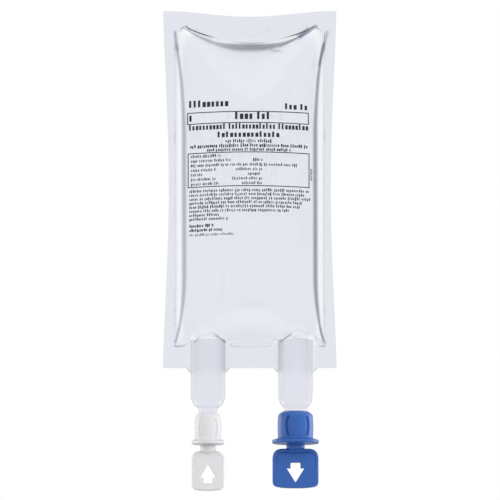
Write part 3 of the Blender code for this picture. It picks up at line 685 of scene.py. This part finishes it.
def tab_body(name, cap_box, sizes, material):
    """The tab as a ring round its arrow: each arrow point has its partner on the tab's
    outline, out along the ray from a point inside it. Between the two, the section is a
    quarter round at the arrow, a flat face and a quarter round at the outline. A groove,
    a squared cosine across, runs under the tab's upper edge."""
    x = (cap_box[0][0] + cap_box[1][0]) / 2
    top = sizes["tab_top"]
    bottom = top - TAB_HEIGHT
    half = sizes["tab_width"] / 2
    up = sizes["arrow_sign"]
    arrow_middle = top - TAB_HEIGHT / 2 - sizes["arrow_drop"]
    head = sizes["arrow_width"] / 2
    shaft = head * ARROW_SHAFT_SHARE
    tip, barb, tail = (arrow_middle + up * offset
                       for offset in (ARROW_TIP, ARROW_BARB, ARROW_TAIL))
    arrow = outline_points([
        (0.0, tip, ARROW_ROUND), (head, barb, ARROW_ROUND), (shaft, barb, ARROW_INNER_ROUND),
        (shaft, tail, ARROW_ROUND), (-shaft, tail, ARROW_ROUND),
        (-shaft, barb, ARROW_INNER_ROUND), (-head, barb, ARROW_ROUND),
    ], ARROW_SPACING)
    foot = half * TAB_FOOT_SHARE
    outline = outline_points([
        (-half, top, sizes["tab_corner"]), (half, top, sizes["tab_corner"]),
        (half, bottom + TAB_BELLY, TAB_LOW_CORNER), (foot, bottom, TAB_FOOT_ROUND),
        (-foot, bottom, TAB_FOOT_ROUND), (-half, bottom + TAB_BELLY, TAB_LOW_CORNER),
    ], OUTLINE_SPACING)
    centre = np.array([0.0, (barb + tip) / 2 - up * RAY_CENTRE_SHIFT])
    turn = np.arctan2(outline[:, 1] - centre[1], outline[:, 0] - centre[0])
    reach = np.linalg.norm(outline - centre, axis=1)
    order = np.argsort(turn)
    arrow_turn = np.arctan2(arrow[:, 1] - centre[1], arrow[:, 0] - centre[0])
    arrow_reach = np.linalg.norm(arrow - centre, axis=1)
    span = np.interp(arrow_turn, turn[order], reach[order], period=2 * np.pi) - arrow_reach
    upper = np.clip(np.sin(arrow_turn), 0.0, 1.0) ** TAB_TOP_POWER
    outer_round = TAB_EDGE + TAB_TOP_EDGE_EXTRA * upper
    half_thick = TAB_THICKNESS / 2
    quarter = np.linspace(0.0, np.pi / 2, 7)[None, :]
    flat = np.array([0.3, 0.7])[None, :]
    rest = np.linspace(0.0, 1.0, 12, endpoint=False)[None, :]
    span, outer_round = span[:, None], outer_round[:, None]
    line = sizes["tab_line"] * upper[:, None] * cos_squared(2.0 * rest - 1.0)
    out = np.concatenate([
        ARROW_EDGE * (1 - np.cos(quarter)) + 0.0 * span,
        ARROW_EDGE + (span - ARROW_EDGE - TAB_LINE_REACH) * flat,
        span - TAB_LINE_REACH + (TAB_LINE_REACH - outer_round) * rest,
        span - outer_round * (1 - np.sin(quarter)),
    ], axis=1)
    forward = np.concatenate([
        half_thick - ARROW_EDGE + ARROW_EDGE * np.sin(quarter) + 0.0 * span,
        half_thick + 0.0 * span * flat,
        half_thick - line,
        half_thick - outer_round * (1 - np.cos(quarter)),
    ], axis=1)
    out = np.concatenate([out, out[:, ::-1]], axis=1)
    forward = np.concatenate([forward, -forward[:, ::-1]], axis=1)
    radius = arrow_reach[:, None] + out
    points = np.stack([x + centre[0] + radius * np.cos(arrow_turn)[:, None], -forward,
                       centre[1] + radius * np.sin(arrow_turn)[:, None]], axis=-1)
    faces = grid_faces(*out.shape, close_u=True, close_v=True)
    return surface(name, points, faces, material, weld=True)


CAPS = {
    "injection": {
        "barrel": 6.05 * MM, "barrel_height": 12.5 * MM,
        "groove": 0.4 * MM, "groove_half_width": 0.6 * MM, "turn": 0.0,
        "flange": 7.5 * MM, "stem": 3.7 * MM, "stem_length": 3.2 * MM,
        "tab_width": 15.0 * MM, "tab_corner": 4.0 * MM, "tab_line": 0.15 * MM,
        "arrow_width": 7.5 * MM, "arrow_drop": 1.1 * MM, "arrow_sign": 1.0,
        "material": white_plastic, "slot": "white_plastic",
    },
    "infusion": {
        "barrel": 8.1 * MM, "barrel_height": 13.2 * MM,
        "groove": 1.1 * MM, "groove_half_width": 0.8 * MM, "turn": 8.0,
        "flange": 10.8 * MM, "stem": 4.3 * MM, "stem_length": 2.4 * MM,
        "tab_width": 21.3 * MM, "tab_corner": 4.8 * MM, "tab_line": 0.6 * MM,
        "arrow_width": 8.3 * MM, "arrow_drop": 1.9 * MM, "arrow_sign": -1.0,
        "material": blue_plastic, "slot": "blue_plastic",
    },
}
for port, sizes in CAPS.items():
    cap_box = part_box(f"{port}_cap")
    sizes["neck"], sizes["proud"] = NECK_RADII[port], COLLAR_PROUD[port]
    sizes["tab_top"] = (cap_box[1][2] - sizes["barrel_height"] - FLANGE_THICKNESS
                        - sizes["stem_length"])
    body = cap_body(f"{port}_cap_body", cap_box, sizes, sizes["material"])
    tab = tab_body(f"{port}_cap_tab", cap_box, sizes, sizes["material"])
    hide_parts(f"{port}_cap")


# Print: one coat of black ink on the outside of the front film, as rows of plain bars in
# a heading, two framed fields, a list and a paragraph. All its sizes are in mm. Lines are
# (left, right, base, height), followed by a bold line's groups or a small line's weight.
ink = principled("black_ink", Base_Color=(0.018, 0.018, 0.022, 1.0), Roughness=0.55)
add_bump(ink, 1500.0, 0.00002, 0.2)
INK_LIFT = 0.04 * MM
INK_COAT = 0.02 * MM
INK_BOW = 0.5
PRINT_REACH = 30.0
RULE_WIDTH = 0.42
RULE_CELLS = 24
FRAMES = [(-29.9, 26.4, -43.2, -37.6), (-29.6, 26.7, -72.6, -56.5)]
FIELD_LINES = [
    (-28.9, -26.7, -41.7, 2.8, [1]), (-7.7, 9.1, -41.4, 3.4, [4, 3]),
    (-29.0, 26.5, -45.9, 2.6, [11, 14, 9]), (-15.8, 13.3, -49.7, 2.6, [15]),
]
SMALL_LINES = [
    (-12.1, 9.6, -52.2, 1.5, 0.62), (-28.5, 26.0, -54.2, 1.5, 0.72),
    (-20.7, 18.4, -56.1, 1.4, 0.72),
]
LIST_TOP, LIST_PITCH = -58.7, 2.15
LIST_LEFT, LIST_RIGHT = -28.1, 5.2
LIST_HEIGHT = 1.3
LIST_ROWS = [(-14.2, None), (-9.6, 0.6), (21.6, None), (-16.1, -7.3), (-22.5, -1.7),
             (-15.6, -9.1), (-14.7, -4.5)]
TEXT_LEFT = -28.8
TEXT_TOP, TEXT_PITCH = -74.9, 1.86
TEXT_HEIGHT = 1.35
TEXT_RIGHTS = (26.9, 25.8, 27.2, 23.7, 23.0, 17.9, -14.7, -10.7)
FOOT_LINES = [
    (TEXT_LEFT, -17.4, -91.0, TEXT_HEIGHT, 0.8), (TEXT_LEFT, -13.5, -93.0, TEXT_HEIGHT, 0.8),
    (TEXT_LEFT, -7.5, -95.1, 1.2, 0.5),
]
HEAD_LINES = [(-29.0, -10.3, -35.3, 3.2, [9]), (15.4, 26.4, -36.5, 2.8, [3, 2])]
SIDE_MARK_X = 27.1
SIDE_MARK_LOW, SIDE_MARK_HIGH, SIDE_MARK_PITCH = -69.0, -64.0, 0.62
SIDE_MARK_WIDTHS = [0.7, 0.9]
SIDE_MARK_HEIGHT = 0.36
SMALL_WEIGHT = 0.62
SMALL_PITCH = 0.62
SMALL_GAP = 0.7
SMALL_RISES = [0.72, 0.72, 0.74, 1.0]
SMALL_DROPS = [0.0, 0.0, 0.0, 0.0, 0.22]
BOLD_GAP = 0.6
BOLD_LOW = 0.76
BOLD_NARROW = 0.5
BOLD_WIDTHS = [0.6, 0.74]
BOLD_TALL_SHARE = 0.22
ink_quads = []


def bar(left, right, low, high, cells=1):
    """One bar of print as flat corners, split across into cells so that it can bend."""
    edges = np.linspace(left, right, cells + 1)
    for a, b in zip(edges, edges[1:]):
        ink_quads.append([(a, low), (b, low), (b, high), (a, high)])


def small_line(rng, left, right, base, height, weight=SMALL_WEIGHT):
    """A line of small bars of three heights, in groups of two to ten. Some reach lower."""
    at = left
    pitch = height * SMALL_PITCH
    while at < right - pitch:
        group = int(rng.integers(2, 11))
        for _ in range(group):
            if at > right - pitch * 0.6:
                break
            rise = height * rng.choice(SMALL_RISES)
            drop = height * rng.choice(SMALL_DROPS)
            width = pitch * weight * rng.uniform(0.7, 1.15)
            bar(at, at + width, base - drop, base + rise)
            at += pitch
        at += pitch * SMALL_GAP


def bold_line(rng, left, right, base, height, groups):
    """A bold line of bars in the given groups: wide low ones and narrow tall ones."""
    pitch = (right - left) / (sum(groups) + BOLD_GAP * (len(groups) - 1))
    at = left
    for group in groups:
        for index in range(group):
            tall = index == 0 or rng.random() < BOLD_TALL_SHARE
            rise = height * (1.0 if tall else BOLD_LOW)
            width = pitch * (BOLD_NARROW if tall else rng.choice(BOLD_WIDTHS))
            bar(at, at + width, base, base + rise)
            at += pitch
        at += pitch * BOLD_GAP


def frame_box(left, right, low, high):
    """A ruled frame of four thin bars."""
    bar(left, right, high - RULE_WIDTH, high, RULE_CELLS)
    bar(left, right, low, low + RULE_WIDTH, RULE_CELLS)
    bar(left, left + RULE_WIDTH, low, high)
    bar(right - RULE_WIDTH, right, low, high)


rng = np.random.default_rng(7)
for sides in FRAMES:
    frame_box(*sides)
for line in FIELD_LINES:
    bold_line(rng, *line)
for line in SMALL_LINES:
    small_line(rng, *line)
for row, (left_end, right_start) in enumerate(LIST_ROWS):
    base = LIST_TOP - LIST_PITCH * row
    small_line(rng, LIST_LEFT, left_end, base, LIST_HEIGHT)
    if right_start is not None:
        small_line(rng, right_start, LIST_RIGHT, base, LIST_HEIGHT)
for row, right in enumerate(TEXT_RIGHTS):
    small_line(rng, TEXT_LEFT, right, TEXT_TOP - TEXT_PITCH * row, TEXT_HEIGHT)
for line in FOOT_LINES:
    small_line(rng, *line)
for line in HEAD_LINES:
    bold_line(rng, *line)
for base in np.arange(SIDE_MARK_LOW, SIDE_MARK_HIGH, SIDE_MARK_PITCH):
    width = rng.choice(SIDE_MARK_WIDTHS)
    bar(SIDE_MARK_X, SIDE_MARK_X + width, base, base + SIDE_MARK_HEIGHT)


def film_outside(x, z):
    """y of the front film's outer face."""
    return -(film_height(x, z) + FILM_THICKNESS)


def lay_ink(name, quads):
    """Flat print laid on the outer face: raised by a parabola towards its middle, lifted
    off the film by a hair, and given the coat's thickness by Solidify."""
    flat = np.array(quads).reshape(-1, 2) * MM
    x = flat[:, 0]
    share = (x - FILM_MIDDLE) / (PRINT_REACH * MM)
    z = flat[:, 1] + INK_BOW * MM * (1.0 - share ** 2)
    points = np.stack([x, film_outside(x, z) - INK_LIFT, z], axis=-1)
    faces = np.arange(len(flat)).reshape(-1, 4)
    piece = surface(name, points, faces, ink, smooth=False)
    solidify = piece.modifiers.new("coat", "SOLIDIFY")
    solidify.thickness = INK_COAT
    solidify.offset = 1.0
    return piece


printed = lay_ink("label_print", ink_quads)


# Stage: a white backdrop all round, with a dark ring and a low dark band that only rays
# through the clear materials see. Soft light comes from above and from both sides, and
# the floor is pale. Stops are (distance from the view's axis or below it, grey).
world = bpy.data.worlds.new("studio")
scene.world = world
world.use_nodes = True
tree = world.node_tree
background = tree.nodes["Background"]
DIFFUSE_LEVEL = 0.62
GLOSSY_LEVEL = 0.45
SIDE_GLOW = 5.4
RING = [(0.0, 0.0), (0.287, 0.0), (0.299, 1.0), (0.313, 1.0), (0.328, 0.0), (0.9, 0.0)]
LOW_BAND = [(0.0, 0.0), (0.215, 0.0), (0.245, 1.0), (0.30, 1.0), (0.34, 0.0), (0.9, 0.0)]
RING_WIDER_LOW_LEFT = 0.9
RING_STRETCH = 1.14
RING_COLOUR = (0.12, 0.14, 0.20, 1.0)
RING_DARKNESS = 0.67
RING_DARKER_LEFT = 0.40
RING_TWIST = 10.0
RING_DARKEST = 0.9
RING_END = 0.20
RING_END_SLOPE = 16.0
BAND_DARKNESS = 0.80
BAND_DARKER_RIGHT = 0.5
BAND_NARROW = 24.0
OVERHEAD_FROM = 0.75
OVERHEAD_GLOW = 4.0
BEHIND_REACH = 0.3


def math_node(operation, first, second=None):
    """One step of arithmetic between node outputs or plain numbers."""
    node = tree.nodes.new("ShaderNodeMath")
    node.operation = operation
    for socket, value in zip(node.inputs, (first, second)):
        if value is None:
            continue
        if isinstance(value, (int, float)):
            socket.default_value = value
        else:
            tree.links.new(value, socket)
    return node.outputs[0]


def dark_stops(stops, position):
    """A ramp of grey over a position, from (position, grey) stops."""
    ramp = tree.nodes.new("ShaderNodeValToRGB")
    tree.links.new(position, ramp.inputs["Fac"])
    for index, (reach, grey) in enumerate(stops):
        if index < 2:
            stop = ramp.color_ramp.elements[index]
            stop.position = reach
        else:
            stop = ramp.color_ramp.elements.new(reach)
        stop.color = (grey, grey, grey, 1.0)
    return ramp.outputs["Color"]


place = tree.nodes.new("ShaderNodeTexCoord")
split = tree.nodes.new("ShaderNodeSeparateXYZ")
tree.links.new(place.outputs["Generated"], split.inputs["Vector"])
across = split.outputs["X"]
across_square = math_node("MULTIPLY", across, across)
rise = math_node("SUBTRACT", split.outputs["Z"], math.sin(VIEW_FROM_BELOW))
upright = math_node("MULTIPLY", rise, RING_STRETCH)
upright_square = math_node("MULTIPLY", upright, upright)
lower = math_node("MULTIPLY", rise, -1.0)
twist = math_node("MULTIPLY", lower, across)
off_axis = math_node("SQRT", math_node("ADD", across_square, upright_square))
widening = math_node("MULTIPLY", math_node("MINIMUM", twist, 0.0), RING_WIDER_LOW_LEFT)
off_axis = math_node("ADD", off_axis, widening)
ring_slope = math_node("MULTIPLY", across, RING_DARKER_LEFT)
ring_weight = math_node("SUBTRACT", RING_DARKNESS, ring_slope)
ring_weight = math_node("SUBTRACT", ring_weight, math_node("MULTIPLY", twist, RING_TWIST))
ring_weight = math_node("MINIMUM", math_node("MAXIMUM", ring_weight, 0.0), RING_DARKEST)
steepness = math_node("ABSOLUTE", rise)
ring_end = math_node("MULTIPLY", math_node("SUBTRACT", RING_END, steepness), RING_END_SLOPE)
ring_end = math_node("MINIMUM", math_node("MAXIMUM", ring_end, 0.0), 1.0)
ring_weight = math_node("MULTIPLY", ring_weight, ring_end)
band_slope = math_node("MULTIPLY", across, BAND_DARKER_RIGHT)
band_fade = math_node("MULTIPLY", across_square, BAND_NARROW)
band_weight = math_node("SUBTRACT", math_node("ADD", BAND_DARKNESS, band_slope), band_fade)
band_weight = math_node("MAXIMUM", band_weight, 0.0)
dark_ring = math_node("MULTIPLY", dark_stops(RING, off_axis), ring_weight)
dark_band = math_node("MULTIPLY", dark_stops(LOW_BAND, lower), band_weight)
darkness = math_node("MINIMUM", math_node("MAXIMUM", dark_ring, dark_band), 1.0)
path = tree.nodes.new("ShaderNodeLightPath")
bent = math_node("MULTIPLY", path.outputs["Is Transmission Ray"], darkness)
surround = tree.nodes.new("ShaderNodeMix")
surround.data_type = "RGBA"
surround.inputs["A"].default_value = (1.0, 1.0, 1.0, 1.0)
surround.inputs["B"].default_value = RING_COLOUR
tree.links.new(bent, surround.inputs["Factor"])
tree.links.new(surround.outputs["Result"], background.inputs["Color"])
reflected = math_node("MULTIPLY", path.outputs["Is Glossy Ray"],
                      math_node("SUBTRACT", 1.0, path.outputs["Is Transmission Ray"]))
less_diffuse = math_node("MULTIPLY", path.outputs["Is Diffuse Ray"], 1.0 - DIFFUSE_LEVEL)
overhead = math_node("SUBTRACT", split.outputs["Z"], OVERHEAD_FROM)
overhead = math_node("MULTIPLY", math_node("MAXIMUM", overhead, 0.0), OVERHEAD_GLOW)
dimmed = math_node("SUBTRACT", 1.0 - GLOSSY_LEVEL, overhead)
beside = math_node("MULTIPLY", across_square, across_square)
behind = math_node("MAXIMUM", math_node("ADD", split.outputs["Y"], BEHIND_REACH), 0.0)
beside = math_node("MULTIPLY", beside, behind)
dimmed = math_node("SUBTRACT", dimmed, math_node("MULTIPLY", beside, SIDE_GLOW))
less_glossy = math_node("MULTIPLY", reflected, dimmed)
level = math_node("SUBTRACT", math_node("SUBTRACT", 1.0, less_diffuse), less_glossy)
tree.links.new(level, background.inputs["Strength"])

scene.view_settings.view_transform = "Standard"

floor_material = bpy.data.materials.new("pale_floor")
floor_material.use_nodes = True
tree = floor_material.node_tree
floor_shader = tree.nodes["Principled BSDF"]
FLOOR_ROUGHNESS = 0.8
FLOOR_GLOW = 0.7
FLOOR_BASE = 0.8
FLOOR_LESS_GLOSSY = 0.2
FLOOR_RADIUS = 0.7
FLOOR_Z = cad_box[0][2] - 80 * MM
floor_shader.inputs["Roughness"].default_value = FLOOR_ROUGHNESS
floor_shader.inputs["Emission Color"].default_value = (1.0, 1.0, 1.0, 1.0)
path = tree.nodes.new("ShaderNodeLightPath")
reflected = math_node("MULTIPLY", path.outputs["Is Glossy Ray"],
                      math_node("SUBTRACT", 1.0, path.outputs["Is Transmission Ray"]))
base = math_node("SUBTRACT", FLOOR_BASE, math_node("MULTIPLY", reflected, FLOOR_LESS_GLOSSY))
tree.links.new(base, floor_shader.inputs["Base Color"])
unlit = math_node("ADD", path.outputs["Is Diffuse Ray"], reflected)
glow = math_node("MULTIPLY", math_node("SUBTRACT", 1.0, unlit), FLOOR_GLOW)
tree.links.new(glow, floor_shader.inputs["Emission Strength"])
bpy.ops.mesh.primitive_circle_add(vertices=96, radius=FLOOR_RADIUS, fill_type="NGON",
                                  location=(0.0, 0.0, FLOOR_Z))
floor = bpy.context.object
floor.name = "floor"
floor.data.materials.append(floor_material)


LAMP_AIM = (0.0, 0.0, -0.15)
SIDE_LAMP_SIZE = (0.4, 0.9)
TOP_LAMP_SIZE = (0.8, 0.4)


def area_light(name, place, size, power):
    """A soft rectangular lamp at a place, turned towards the bag. Reflections and rays
    through the clear materials don't show it."""
    lamp = bpy.data.lights.new(name, "AREA")
    lamp.shape = "RECTANGLE"
    lamp.size, lamp.size_y = size
    lamp.energy = power
    holder = bpy.data.objects.new(name, lamp)
    direction = np.array(LAMP_AIM) - np.array(place)
    holder.location = place
    holder.rotation_euler = (math.acos(-direction[2] / np.linalg.norm(direction)), 0.0,
                             math.atan2(direction[0], -direction[1]) + math.pi)
    holder.visible_glossy = False
    holder.visible_transmission = False
    scene.collection.objects.link(holder)


area_light("left_strip", (-0.9, 0.0, -0.05), SIDE_LAMP_SIZE, 3.5)
area_light("right_strip", (0.9, -0.3, -0.05), SIDE_LAMP_SIZE, 6.5)
area_light("top_front", (0.0, -0.85, 0.6), TOP_LAMP_SIZE, 4.0)
